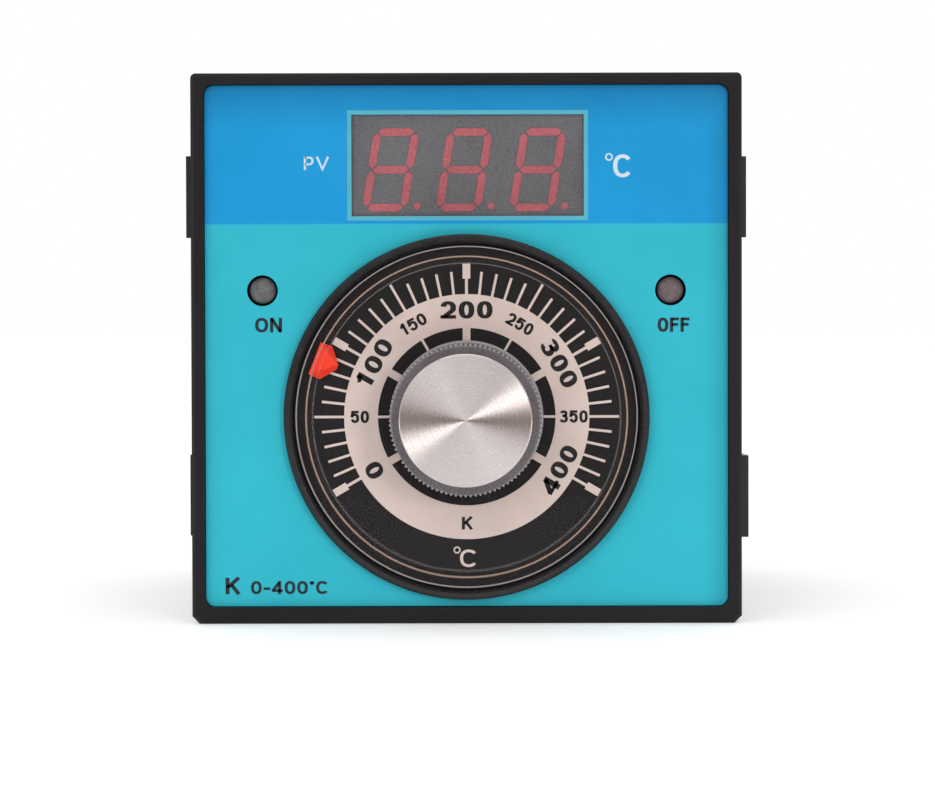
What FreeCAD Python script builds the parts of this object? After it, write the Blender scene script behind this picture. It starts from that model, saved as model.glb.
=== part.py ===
import FreeCAD, Part
import math
import os

# Panel-mounted oven temperature controller, 96 x 96 mm size, all lengths in millimetres.
# X points right and Z up when facing the instrument, Y points into the panel.
# The origin is the centre of the panel cut-out, in the plane of the bezel's back face.

# Bezel
BEZEL = 96.0
BEZEL_DEPTH = 11.0
SKIRT_WALL = 2.3
FACE_Y = -9.3            # front of the wall that carries the printed overlay
FACE_WALL = 2.0
RIM_OPENING_X = 45.7
RIM_OPENING_TOP = 46.0
RIM_OPENING_BOTTOM = -45.1
OVERLAY_THICK = 0.5
WALL_BACK_Y = FACE_Y + FACE_WALL

# Display window and lamps, in the plane of the overlay
WINDOW_X = (-20.0, 20.5)
WINDOW_Z = (23.1, 40.8)
WINDOW_HOLE_X = (-20.6, 21.1)
WINDOW_HOLE_Z = (22.1, 41.8)
LAMP_X = 35.6
LAMP_Z = 10.15
LAMP_HOLE_R = 2.7

# Dial
DIAL_Z = -11.9
DIAL_RING_R = 31.86
DIAL_RING_INNER_R = 30.3
DISC_R = 29.8
DISC_SLOPE_R = 27.95
DISC_FLAT_R = 26.8
DISC_BACK_Y = -10.45
DISC_THICK = 2.2
FLANGE_THICK = 1.1
SCALE_PLATE_THICK = 0.8
KNOB_R = 13.1
KNOB_TEETH = 96
KNOB_TOOTH = 0.5
KNOB_FRONT_Y = -24.2
CAP_R = 11.35
CAP_THICK = 1.05
CAP_SEAT = 0.7
SHAFT_R = 3.0
SHAFT_RUNNING = 0.05
POINTER_ANGLE = 158.8

# Housing behind the panel
CASE = 91.0
CASE_WALL = 2.2
CASE_END_Y = 78.0
COVER_THICK = 2.2
COVER_BACK_Y = CASE_END_Y + COVER_THICK

# Side rails and clamps
RAIL_Z = 26.9
POCKET_HALF = 8.1
POCKET_DEPTH = 3.2
POCKET_FRONT_Y = 1.2
RAIL_STEM_HALF = 2.0
RAIL_HEAD_HALF = 4.0
RAIL_HEAD_THICK = 1.6
TOOTH_PITCH = 2.0
TOOTH_DEPTH = 0.7
CLAMP_HALF = 7.3
CLAMP_LENGTH = 30.0
CLAMP_OUTER_X = 50.3
CLAMP_GAP = 0.3
CLAMP_FRONT_Y = {"upper_left": 3.0, "lower_right": 3.0, "upper_right": 8.0, "lower_left": 8.0}

# Rear terminals
WAYS = 5
WAY_PITCH = 11.0
BARRIER = 1.6
BLOCK_X = (18.0, 36.0)
BLOCK_BASE = 4.0
BLOCK_HIGH = 13.0
TERMINAL_X = 26.4

# Circuit boards
BOARD = 1.6
DISPLAY_BOARD_Y = -1.2
DISPLAY_BOARD_HALF = 39.8
DISPLAY_PILLAR_X = 36.6
DISPLAY_PILLAR_Z = (4.5, 38.0)
MAIN_BOARD_Z = -36.0
MAIN_BOARD_HALF = 39.9
REAR_BOARD_Y = 71.5

os.makedirs("parts", exist_ok=True)
UP = FreeCAD.Vector(0, 0, 1)
BACK = FreeCAD.Vector(0, 1, 0)
RIGHT = FreeCAD.Vector(1, 0, 0)


def save(name, shapes):
    """Write one node; a list becomes a group of separate solids."""
    group = shapes if isinstance(shapes, list) else [shapes]
    solids = [solid for shape in group for solid in shape.Solids]
    shape = solids[0] if len(solids) == 1 else Part.makeCompound(solids)
    shape.exportStep("parts/" + name + ".step")


def box(x, y, z):
    """A block from three (low, high) pairs."""
    corner = FreeCAD.Vector(x[0], y[0], z[0])
    return Part.makeBox(x[1] - x[0], y[1] - y[0], z[1] - z[0], corner)


def rod(x, z, radius, y0, y1):
    """A round bar along Y."""
    return Part.makeCylinder(radius, y1 - y0, FreeCAD.Vector(x, y0, z), BACK)


def tube(x, z, outer, inner, y0, y1):
    return rod(x, z, outer, y0, y1).cut(rod(x, z, inner, y0 - 1, y1 + 1))


def post(x, y, radius, z0, z1):
    """A round bar along Z."""
    return Part.makeCylinder(radius, z1 - z0, FreeCAD.Vector(x, y, z0), UP)


def flat(points, y0, y1):
    """An outline of (x, z) points, extruded along Y."""
    ring = [FreeCAD.Vector(x, y0, z) for x, z in points]
    face = Part.Face(Part.makePolygon(ring + ring[:1]))
    return face.extrude(FreeCAD.Vector(0, y1 - y0, 0))


def profile_z(points, z0, z1):
    """An outline of (x, y) points, extruded along Z."""
    ring = [FreeCAD.Vector(x, y, z0) for x, y in points]
    face = Part.Face(Part.makePolygon(ring + ring[:1]))
    return face.extrude(FreeCAD.Vector(0, 0, z1 - z0))


def profile_x(points, x0, x1):
    """An outline of (y, z) points, extruded along X."""
    ring = [FreeCAD.Vector(x0, y, z) for y, z in points]
    face = Part.Face(Part.makePolygon(ring + ring[:1]))
    return face.extrude(FreeCAD.Vector(x1 - x0, 0, 0))


def rounded_block(x, y, z, radius):
    """A block whose four edges along Y are rounded."""
    block = box(x, y, z)
    edges = [edge for edge in block.Edges if abs(edge.tangentAt(edge.FirstParameter).y) > 0.99]
    return block.makeFillet(radius, edges)


def turned(points, x, z):
    """A closed outline of (radius, y) points, turned about an axis along Y."""
    ring = [FreeCAD.Vector(x + radius, y, z) for radius, y in points]
    face = Part.Face(Part.makePolygon(ring + ring[:1]))
    return face.revolve(FreeCAD.Vector(x, 0, z), BACK, 360)


def joined(shapes):
    """One solid from touching or overlapping shapes."""
    first = shapes[0]
    return first.fuse(shapes[1:]).removeSplitter()


def mirrored_x(shape):
    return shape.mirror(FreeCAD.Vector(0, 0, 0), RIGHT)


def mirrored_z(shape):
    return shape.mirror(FreeCAD.Vector(0, 0, 0), UP)


def cross_head(x, z, radius, high, y0, shank, length):
    """A screw with a domed cross-head, entered from the rear: the head stands from y0 to y0 + high."""
    dome = [(0.0, y0), (radius, y0), (radius, y0 + 0.5 * high)]
    dome += [(0.75 * radius, y0 + 0.85 * high), (0.4 * radius, y0 + high), (0.0, y0 + high)]
    head = turned(dome, x, z)
    slot = 0.5 * radius
    wide = 0.16 * radius
    deep = (y0 + 0.45 * high, y0 + 2 * high)
    head = head.cut(box((x - slot, x + slot), deep, (z - wide, z + wide)))
    head = head.cut(box((x - wide, x + wide), deep, (z - slot, z + slot)))
    return joined([head, rod(x, z, shank, y0 - length, y0)])


# ---------------------------------------------------------------- bezel and face

def build_bezel():
    half = BEZEL / 2
    block = box((-half, half), (-BEZEL_DEPTH, 0.0), (-half, half))
    upright = [edge for edge in block.Edges if abs(edge.tangentAt(edge.FirstParameter).y) > 0.99]
    top = [edge for edge in upright if edge.CenterOfMass.z > 0]
    block = block.makeFillet(0.9, top)
    bottom = [edge for edge in block.Edges
              if abs(edge.tangentAt(edge.FirstParameter).y) > 0.99
              and edge.CenterOfMass.z < -half + 0.1 and abs(edge.Length - BEZEL_DEPTH) < 0.01]
    block = block.makeChamfer(1.3, bottom)
    front = [edge for edge in block.Edges
             if abs(edge.CenterOfMass.y + BEZEL_DEPTH) < 0.01]
    block = block.makeChamfer(0.65, front)
    recess = rounded_block((-RIM_OPENING_X, RIM_OPENING_X), (-BEZEL_DEPTH - 1, FACE_Y),
                           (RIM_OPENING_BOTTOM, RIM_OPENING_TOP), 1.7)
    inside = half - SKIRT_WALL
    hollow = box((-inside, inside), (WALL_BACK_Y, 1.0), (-inside, inside))
    block = block.cut(recess).cut(hollow)
    block = block.cut(box(WINDOW_HOLE_X, (FACE_Y - 1, 0), WINDOW_HOLE_Z))
    for side in (-1, 1):
        block = block.cut(rod(side * LAMP_X, LAMP_Z, LAMP_HOLE_R + 0.1, FACE_Y - 1, 0))
        for z in DISPLAY_PILLAR_Z:
            pillar = tube(side * DISPLAY_PILLAR_X, z, 2.5, 1.0, WALL_BACK_Y, DISPLAY_BOARD_Y)
            block = joined([block, pillar])
    block = block.cut(rod(0.0, DIAL_Z, 3.9, FACE_Y - 1, 0))
    return block


def build_overlay():
    gap = 0.1
    sheet = rounded_block((-RIM_OPENING_X + gap, RIM_OPENING_X - gap),
                          (FACE_Y - OVERLAY_THICK, FACE_Y),
                          (RIM_OPENING_BOTTOM + gap, RIM_OPENING_TOP - gap), 1.6)
    sheet = sheet.cut(box(WINDOW_X, (FACE_Y - 1, FACE_Y + 1), WINDOW_Z))
    sheet = sheet.cut(rod(0.0, DIAL_Z, DIAL_RING_INNER_R, FACE_Y - 1, FACE_Y + 1))
    for side in (-1, 1):
        sheet = sheet.cut(rod(side * LAMP_X, LAMP_Z, LAMP_HOLE_R, FACE_Y - 1, FACE_Y + 1))
    return sheet


def build_window():
    return box(WINDOW_X, (FACE_Y - OVERLAY_THICK, FACE_Y), WINDOW_Z)


def build_dial_ring():
    front = FACE_Y - OVERLAY_THICK
    section = [(DIAL_RING_INNER_R, front), (DIAL_RING_R, front), (DIAL_RING_R, front - 1.7)]
    section += [(DIAL_RING_R - 0.4, front - 2.1), (DIAL_RING_INNER_R + 0.5, front - 2.1)]
    section += [(DIAL_RING_INNER_R, front - 1.7)]
    return turned(section, 0.0, DIAL_Z)


def build_scale_plate():
    outer = DIAL_RING_INNER_R - 0.05
    return tube(0.0, DIAL_Z, outer, 6.2, FACE_Y - SCALE_PLATE_THICK, FACE_Y)


# ---------------------------------------------------------------- turning dial

def pointer_outline(margin):
    """The pointer's outline on the disc: broad at the rim and pointed towards the centre."""
    half = 3.0 + margin
    rows = [(28.4 + margin, half), (26.2, half + 0.05), (24.1 - margin, 0.45 + margin)]
    radial = FreeCAD.Vector(math.cos(math.radians(POINTER_ANGLE)), 0,
                            math.sin(math.radians(POINTER_ANGLE)))
    across = FreeCAD.Vector(-radial.z, 0, radial.x)
    centre = FreeCAD.Vector(0, 0, DIAL_Z)
    side = [centre + radial * r + across * w for r, w in rows]
    other = [centre + radial * r - across * w for r, w in reversed(rows)]
    return [(point.x, point.z) for point in side + other]


def build_knob():
    """Clear disc and knurled grip in one moulding, hollow behind for the bush nut."""
    front = DISC_BACK_Y - DISC_THICK
    flange = DISC_BACK_Y - FLANGE_THICK
    disc = [(6.6, DISC_BACK_Y), (DISC_R, DISC_BACK_Y), (DISC_R, flange + 0.15), (DISC_R - 0.15, flange)]
    disc += [(DISC_SLOPE_R, flange), (DISC_FLAT_R, front), (6.6, front)]
    disc = turned(disc, 0.0, DIAL_Z)
    teeth = []
    for index in range(2 * KNOB_TEETH):
        radius = KNOB_R if index % 2 == 0 else KNOB_R - KNOB_TOOTH
        angle = math.pi * index / KNOB_TEETH
        teeth.append((radius * math.cos(angle), DIAL_Z + radius * math.sin(angle)))
    grip = flat(teeth, KNOB_FRONT_Y, front)
    trim = [(0.0, KNOB_FRONT_Y), (KNOB_R - 0.7, KNOB_FRONT_Y), (KNOB_R + 0.2, KNOB_FRONT_Y + 0.9)]
    trim += [(KNOB_R + 0.2, front), (0.0, front)]
    grip = grip.common(turned(trim, 0.0, DIAL_Z))
    knob = joined([disc, grip])
    knob = knob.cut(rod(0.0, DIAL_Z, 8.0, DISC_BACK_Y - 3.4, DISC_BACK_Y + 1))
    knob = knob.cut(rod(0.0, DIAL_Z, 5.0, KNOB_FRONT_Y + 1.4, DISC_BACK_Y))
    knob = knob.cut(rod(0.0, DIAL_Z, CAP_R + 0.05, KNOB_FRONT_Y - 1, KNOB_FRONT_Y + CAP_SEAT))
    pocket = flat(pointer_outline(0.0), DISC_BACK_Y - 0.6, DISC_BACK_Y)
    return knob.cut(pocket)


def build_pointer():
    return flat(pointer_outline(-0.02), DISC_BACK_Y - 0.6, DISC_BACK_Y)


def build_knob_cap():
    back = KNOB_FRONT_Y + CAP_SEAT
    front = back - CAP_THICK
    section = [(0.0, back), (CAP_R, back), (CAP_R, front + 0.2), (CAP_R - 0.2, front), (0.0, front)]
    return turned(section, 0.0, DIAL_Z)


def build_knob_insert():
    return tube(0.0, DIAL_Z, 4.95, SHAFT_R, KNOB_FRONT_Y + 1.6, DISC_BACK_Y - 3.4)


def build_shaft():
    shaft = rod(0.0, DIAL_Z, SHAFT_R, KNOB_FRONT_Y + 2.2, WALL_BACK_Y + 3.0)
    flat_side = box((-4, 4), (KNOB_FRONT_Y, DISC_BACK_Y - 3.8), (DIAL_Z + 2.0, DIAL_Z + 4))
    return shaft.cut(flat_side)


def build_pot_body():
    """Round can with a threaded bush that passes through the front wall."""
    can = rod(0.0, DIAL_Z, 11.8, WALL_BACK_Y, WALL_BACK_Y + 9.0)
    can = can.makeFillet(0.6, [edge for edge in can.Edges if edge.CenterOfMass.y > WALL_BACK_Y + 8])
    bush = rod(0.0, DIAL_Z, 3.75, WALL_BACK_Y - 5.0, WALL_BACK_Y)
    body = joined([can, bush])
    bore = rod(0.0, DIAL_Z, SHAFT_R + SHAFT_RUNNING, WALL_BACK_Y - 6, WALL_BACK_Y + 3.3)
    return body.cut(bore)


def build_pot_nut():
    corner = 11.0 / math.sqrt(3)
    points = []
    for index in range(6):
        angle = math.radians(60 * index)
        points.append((corner * math.cos(angle), DIAL_Z + corner * math.sin(angle)))
    front = FACE_Y - 0.5
    nut = flat(points, front - 2.0, front)
    return nut.cut(rod(0.0, DIAL_Z, 3.76, front - 3, front + 1))


def build_pot_washer():
    return tube(0.0, DIAL_Z, 6.0, 3.9, FACE_Y - 0.5, FACE_Y)


def build_pot_lugs():
    lugs = []
    for step in (-1, 0, 1):
        lug = box((5.0 * step - 1.0, 5.0 * step + 1.0),
                  (WALL_BACK_Y + 5.0, WALL_BACK_Y + 5.5), (DIAL_Z - 19.0, DIAL_Z - 11.0))
        eye = rod(5.0 * step, DIAL_Z - 17.3, 0.6, WALL_BACK_Y + 4, WALL_BACK_Y + 6)
        lugs.append(lug.cut(eye).cut(rod(0.0, DIAL_Z, 11.8, WALL_BACK_Y, WALL_BACK_Y + 9)))
    return lugs


# ---------------------------------------------------------------- display and lamps

DISPLAY_X = (-20.35, 20.85)
DISPLAY_Z = (22.3, 41.6)
DIGIT_X = (-13.2, -0.35, 12.5)
DIGIT_Z = 31.2
SEGMENT_LONG = 13.15
SEGMENT_WIDE = 6.6
SEGMENT_HALF = 0.68
DOT_RIGHT = 4.63         # decimal point, from the digit's centre
DOT_DOWN = 6.3
DOT_R = 0.62
SLANT = math.tan(math.radians(9.0))
PIN_COLUMNS = 6
PIN_PITCH = 5.08
PIN_ROWS = (39.5, 24.3)


def leaned(points, x):
    """Lean a digit's outline to the right and move it to its place."""
    return [(x + px + pz * SLANT, DIGIT_Z + pz) for px, pz in points]


def segment_outlines():
    """The seven bars of a digit: three level ones and four upright ones."""
    half_w = SEGMENT_WIDE / 2
    half_h = SEGMENT_LONG / 2
    t = SEGMENT_HALF
    gap = 0.2
    bars = []
    for z in (-half_h, 0.0, half_h):
        x0 = -half_w + gap
        x1 = half_w - gap
        bars.append([(x0, z), (x0 + t, z + t), (x1 - t, z + t), (x1, z), (x1 - t, z - t), (x0 + t, z - t)])
    for x in (-half_w, half_w):
        for z0 in (-half_h, 0.0):
            low = z0 + gap
            high = z0 + half_h - gap
            bars.append([(x, low), (x + t, low + t), (x + t, high - t), (x, high),
                         (x - t, high - t), (x - t, low + t)])
    return bars


def pin_places():
    """Centres of the display module's two rows of pins."""
    first = sum(WINDOW_X) / 2 - PIN_PITCH * (PIN_COLUMNS - 1) / 2
    return [(first + PIN_PITCH * column, z) for z in PIN_ROWS for column in range(PIN_COLUMNS)]


def build_display():
    """Three-digit light module: a shell with pockets, and the diffusers that fill them."""
    front = FACE_Y + 0.1
    shell = box(DISPLAY_X, (front, DISPLAY_BOARD_Y), DISPLAY_Z)
    diffusers = []
    for x in DIGIT_X:
        for outline in segment_outlines():
            diffusers.append(flat(leaned(outline, x), front - 0.05, front + 1.2))
        diffusers.append(rod(x + DOT_RIGHT, DIGIT_Z - DOT_DOWN, DOT_R, front - 0.05, front + 1.2))
    pockets = Part.makeCompound(diffusers)
    shell = shell.cut(pockets)
    pins = [rod(x, z, 0.3, DISPLAY_BOARD_Y, DISPLAY_BOARD_Y + 3.2) for x, z in pin_places()]
    return shell, diffusers, pins


def build_lamp(side):
    """A 5 mm light-emitting diode, its dome level with the overlay."""
    tip = FACE_Y - OVERLAY_THICK - 0.1
    arc = [(2.35 * math.sin(math.radians(a)), tip + 1.3 - 1.3 * math.cos(math.radians(a)))
           for a in range(0, 91, 15)]
    outline = arc + [(2.35, tip + 7.6), (2.8, tip + 7.6), (2.8, DISPLAY_BOARD_Y), (0.0, DISPLAY_BOARD_Y)]
    return turned(outline, side * LAMP_X, LAMP_Z)


def build_display_board():
    board = box((-DISPLAY_BOARD_HALF, DISPLAY_BOARD_HALF),
                (DISPLAY_BOARD_Y, DISPLAY_BOARD_Y + BOARD), (1.0, 42.5))
    for side in (-1, 1):
        for z in DISPLAY_PILLAR_Z:
            board = board.cut(rod(side * DISPLAY_PILLAR_X, z, 1.3,
                                  DISPLAY_BOARD_Y - 1, DISPLAY_BOARD_Y + 3))
    for x, z in pin_places():
        board = board.cut(rod(x, z, 0.4, DISPLAY_BOARD_Y - 1, DISPLAY_BOARD_Y + 3))
    return board


def build_display_board_screws():
    y0 = DISPLAY_BOARD_Y + BOARD
    return [cross_head(side * DISPLAY_PILLAR_X, z, 2.0, 1.4, y0, 0.95, 6.0)
            for side in (-1, 1) for z in DISPLAY_PILLAR_Z]


# ---------------------------------------------------------------- housing

def build_rail():
    """One toothed T-rail in its side pocket, on the right and above the middle."""
    floor = CASE / 2 - POCKET_DEPTH
    under = CASE / 2 - RAIL_HEAD_THICK
    start = POCKET_FRONT_Y
    stem = box((floor - 0.5, under + 0.2), (start, CASE_END_Y),
               (RAIL_Z - RAIL_STEM_HALF, RAIL_Z + RAIL_STEM_HALF))
    outline = [(under, start), (CASE / 2, start)]
    y = start + 2.8
    while y + TOOTH_PITCH < CASE_END_Y:
        outline.append((CASE / 2, y))
        outline.append((CASE / 2 - TOOTH_DEPTH, y + 0.3))
        y += TOOTH_PITCH
    outline += [(CASE / 2, y), (CASE / 2, CASE_END_Y), (under, CASE_END_Y)]
    head = profile_z(outline, RAIL_Z - RAIL_HEAD_HALF, RAIL_Z + RAIL_HEAD_HALF)
    return joined([stem, head])


def build_housing():
    half = CASE / 2
    inner = half - CASE_WALL
    case = rounded_block((-half, half), (WALL_BACK_Y, CASE_END_Y), (-half, half), 1.2)
    case = case.cut(box((-inner, inner), (WALL_BACK_Y - 1, CASE_END_Y + 1), (-inner, inner)))
    swelling = half - POCKET_DEPTH - CASE_WALL
    for turn in (lambda s: s, mirrored_x, mirrored_z, lambda s: mirrored_x(mirrored_z(s))):
        boss = box((swelling, inner + 0.1), (POCKET_FRONT_Y - CASE_WALL, CASE_END_Y),
                   (RAIL_Z - POCKET_HALF - CASE_WALL, RAIL_Z + POCKET_HALF + CASE_WALL))
        pocket = box((half - POCKET_DEPTH, half + 1), (POCKET_FRONT_Y, CASE_END_Y + 1),
                     (RAIL_Z - POCKET_HALF, RAIL_Z + POCKET_HALF))
        case = case.fuse(turn(boss)).cut(turn(pocket)).fuse(turn(build_rail()))
    for side in (-1, 1):
        for column in range(11):
            x = -30.0 + 6.0 * column
            z = (side * half - 3, side * half + 3)
            case = case.cut(box((x - 1.1, x + 1.1), (22.0, 58.0), z))
        groove_x = tuple(sorted((side * (MAIN_BOARD_HALF - 1.5), side * (swelling + 0.2))))
        for low in (MAIN_BOARD_Z - 1.3, MAIN_BOARD_Z + BOARD + 0.05):
            case = case.fuse(box(groove_x, (6.0, 70.0), (low, low + 1.25)))
    for side in (-1, 1):
        for level in (-1, 1):
            x = side * (inner - 2.5)
            z = level * (inner - 2.5)
            pillar = rod(x, z, 2.9, 50.0, CASE_END_Y)
            corner = box(tuple(sorted((x, side * inner))), (50.0, CASE_END_Y),
                         tuple(sorted((z, level * inner))))
            case = case.fuse([pillar, corner]).cut(rod(x, z, 1.1, 60.0, CASE_END_Y + 1))
    return case.removeSplitter()


def build_rear_cover():
    half = CASE / 2
    cover = rounded_block((-half, half), (CASE_END_Y, COVER_BACK_Y), (-half, half), 1.2)
    back = [edge for edge in cover.Edges if abs(edge.CenterOfMass.y - COVER_BACK_Y) < 0.01]
    cover = cover.makeChamfer(0.5, back)
    x = half - CASE_WALL - 2.5
    for side in (-1, 1):
        for level in (-1, 1):
            cover = cover.cut(rod(side * x, level * x, 1.6, CASE_END_Y - 1, COVER_BACK_Y + 1))
            cover = cover.cut(rod(side * x, level * x, 3.2, COVER_BACK_Y - 1.1, COVER_BACK_Y + 1))
        for way in range(WAYS):
            z = way_z(way)
            cover = cover.cut(box((side * TERMINAL_X - 2.6, side * TERMINAL_X + 2.6),
                                  (CASE_END_Y - 1, COVER_BACK_Y + 1), (z - 2.6, z + 2.6)))
    for row in range(9):
        z = -28.0 + 7.0 * row
        cover = cover.cut(box((-11.0, 11.0), (CASE_END_Y - 1, COVER_BACK_Y + 1), (z - 1.1, z + 1.1)))
    return cover


def build_cover_screws():
    x = CASE / 2 - CASE_WALL - 2.5
    return [cross_head(side * x, level * x, 2.8, 1.7, COVER_BACK_Y - 1.1, 1.05, 12.0)
            for side in (-1, 1) for level in (-1, 1)]


# ---------------------------------------------------------------- clamps

def build_clamp(name):
    """A ratchet clamp that straddles one rail; this is the upper right one, mirrored to its corner."""
    front = CLAMP_FRONT_Y[name]
    end = front + CLAMP_LENGTH
    side = CASE / 2 + CLAMP_GAP
    plate_x = (side, side + 2.2)
    across = (RAIL_Z - CLAMP_HALF, RAIL_Z + CLAMP_HALF)
    plate = box(plate_x, (front, end), across)
    foot = box((side, CLAMP_OUTER_X), (front, front + 3.2), across)
    pieces = [plate, foot]
    for z0 in (across[0], across[1] - 1.4):
        rib = [(side + 2.0, front + 3.0), (CLAMP_OUTER_X - 0.3, front + 3.0), (side + 2.0, end - 4.0)]
        pieces.append(profile_z(rib, z0, z0 + 1.4))
    floor = CASE / 2 - POCKET_DEPTH + CLAMP_GAP
    lip_top = CASE / 2 - RAIL_HEAD_THICK - CLAMP_GAP
    for direction in (-1, 1):
        leg_in = RAIL_Z + direction * (RAIL_HEAD_HALF + 0.4)
        leg_out = RAIL_Z + direction * (POCKET_HALF - 1.0)
        lip_in = RAIL_Z + direction * (RAIL_STEM_HALF + 0.4)
        pieces.append(box((floor, side + 0.5), (front + 1.5, end), tuple(sorted((leg_in, leg_out)))))
        pieces.append(box((floor, lip_top), (front + 1.5, end), tuple(sorted((lip_in, leg_out)))))
    body = joined(pieces)
    tongue_half = 3.0
    slit = 0.7
    for direction in (-1, 1):
        z = RAIL_Z + direction * (tongue_half + slit / 2)
        body = body.cut(box((side - 1, side + 3), (front + 8.0, end + 1), (z - slit / 2, z + slit / 2)))
    thin = box((side - 0.5, side + 0.9), (front + 8.0, end - 3.0),
               (RAIL_Z - tongue_half, RAIL_Z + tongue_half))
    body = body.cut(thin)
    lift = profile_z([(side + 2.0, end - 4.5), (CLAMP_OUTER_X - 0.2, end - 1.2),
                      (CLAMP_OUTER_X - 0.2, end), (side + 2.0, end)],
                     RAIL_Z - tongue_half, RAIL_Z + tongue_half)
    body = joined([body, lift])
    for notch in range(3):
        y = front + 12.0 + 3.0 * notch
        body = body.cut(box((side + 1.8, side + 3), (y, y + 1.2), (RAIL_Z - 2.2, RAIL_Z + 2.2)))
    if "lower" in name:
        body = mirrored_z(body)
    if "left" in name:
        body = mirrored_x(body)
    return body


# ---------------------------------------------------------------- rear terminals

def way_z(way):
    return WAY_PITCH * (way - (WAYS - 1) / 2)


def build_terminal_block(side):
    """Barrier strip: a base, an inner wall and a barrier each side of every way."""
    half = WAYS * WAY_PITCH / 2 + BARRIER / 2
    y0 = COVER_BACK_Y
    pieces = [box(BLOCK_X, (y0, y0 + BLOCK_BASE), (-half, half))]
    pieces.append(box((BLOCK_X[0], BLOCK_X[0] + 2.0), (y0, y0 + BLOCK_HIGH), (-half, half)))
    for index in range(WAYS + 1):
        z = WAY_PITCH * (index - WAYS / 2)
        pieces.append(box(BLOCK_X, (y0, y0 + BLOCK_HIGH), (z - BARRIER / 2, z + BARRIER / 2)))
    block = joined(pieces)
    for way in range(WAYS):
        block = block.cut(box((TERMINAL_X - 2.0, TERMINAL_X + 2.0), (y0 - 1, y0 + BLOCK_BASE + 1),
                              (way_z(way) - 2.0, way_z(way) + 2.0)))
    return block if side > 0 else mirrored_x(block)


def build_terminal_hardware():
    """Contact plates with their tails, square washers and screws, one of each for every way."""
    plates = []
    washers = []
    screws = []
    y0 = COVER_BACK_Y + BLOCK_BASE
    for side in (-1, 1):
        x = side * TERMINAL_X
        for way in range(WAYS):
            z = way_z(way)
            plate = box((x - 4.6, x + 4.6), (y0, y0 + 0.8), (z - 4.2, z + 4.2))
            nut = box((x - 1.95, x + 1.95), (y0 - 3.0, y0), (z - 1.95, z + 1.95))
            tail = box((x - 1.0, x + 1.0), (REAR_BOARD_Y - 0.8, y0 - 3.0), (z + 1.25, z + 1.95))
            plate = joined([plate, nut, tail])
            plates.append(plate.cut(rod(x, z, 1.2, y0 - 4, y0 + 2)))
            washer = box((x - 3.6, x + 3.6), (y0 + 0.8, y0 + 1.6), (z - 3.6, z + 3.6))
            washers.append(washer.cut(rod(x, z, 1.3, y0, y0 + 3)))
            screws.append(cross_head(x, z, 3.0, 2.4, y0 + 1.6, 1.2, 4.4))
    return plates, washers, screws


# ---------------------------------------------------------------- inside

def build_main_board():
    return box((-MAIN_BOARD_HALF, MAIN_BOARD_HALF), (6.0, 70.5), (MAIN_BOARD_Z, MAIN_BOARD_Z + BOARD))


def build_rear_board():
    board = box((-39.0, 39.0), (REAR_BOARD_Y, REAR_BOARD_Y + BOARD), (MAIN_BOARD_Z + 3.0, 36.0))
    for side in (-1, 1):
        for way in range(WAYS):
            x = side * TERMINAL_X
            z = way_z(way)
            board = board.cut(box((x - 1.2, x + 1.2), (REAR_BOARD_Y - 1, REAR_BOARD_Y + 3),
                                  (z + 1.1, z + 2.1)))
    return board


TOP = MAIN_BOARD_Z + BOARD


def build_transformer():
    """Laminated core standing on the main board, with the wound bobbin round its middle leg."""
    x = (-36.0, 0.0)
    y = (40.0, 68.0)
    z = (TOP, TOP + 30.0)
    core = box(x, (y[0] + 6.0, y[1] - 6.0), z)
    windows = [box((-30.0, -24.0), y, (z[0] + 6.0, z[1] - 6.0)),
               box((-12.0, -6.0), y, (z[0] + 6.0, z[1] - 6.0))]
    core = core.cut(windows[0]).cut(windows[1])
    coil = rounded_block((-29.8, -6.2), y, (z[0] + 6.2, z[1] - 6.2), 2.0)
    coil = coil.cut(box((-24.0, -12.0), (y[0] + 6.0, y[1] - 6.0), z))
    return core, coil


def build_relay():
    relay = box((8.0, 27.0), (48.0, 63.0), (TOP, TOP + 15.5))
    upper = [edge for edge in relay.Edges if edge.CenterOfMass.z > TOP + 15]
    return relay.makeChamfer(0.6, upper)


def build_capacitors():
    tall = post(-12.0, 22.0, 5.0, TOP, TOP + 16.0)
    small = post(2.0, 20.0, 3.1, TOP, TOP + 11.0)
    other = post(12.0, 20.0, 3.1, TOP, TOP + 11.0)
    return [can.makeFillet(0.5, [can.Edges[0]]) for can in (tall, small, other)]


def build_regulator():
    """Heatsink with fins, and the regulator fixed to its face."""
    fins = [box((-36.0, -24.0), (14.0, 16.0), (TOP, TOP + 20.0))]
    for index in range(5):
        x = -36.0 + 2.75 * index
        fins.append(box((x, x + 1.0), (15.9, 22.0), (TOP, TOP + 20.0)))
    heatsink = joined(fins)
    body = box((-35.0, -25.0), (9.5, 14.0), (TOP + 4.0, TOP + 13.0))
    tab = box((-35.0, -25.0), (12.8, 14.0), (TOP + 12.9, TOP + 19.0))
    legs = [box((-30.0 + 2.54 * k - 0.4, -30.0 + 2.54 * k + 0.4), (11.0, 11.6), (TOP, TOP + 4.1))
            for k in (-1, 0, 1)]
    return heatsink, joined([body, tab] + legs)


def build_chips():
    chips = []
    for x, length in ((20.0, 9.8), (31.0, 19.5)):
        body = box((x - 3.2, x + 3.2), (16.0, 16.0 + length), (TOP + 0.6, TOP + 4.0))
        pins = [box((x - 4.0, x + 4.0), (17.0 + 2.54 * k - 0.25, 17.0 + 2.54 * k + 0.25),
                    (TOP, TOP + 1.8)) for k in range(int(length // 2.54))]
        gap = box((x - 3.6, x + 3.6), (15.0, 17.0 + length), (TOP - 1, TOP + 0.6))
        chips.append(joined([body] + pins).cut(gap))
    return chips


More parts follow.
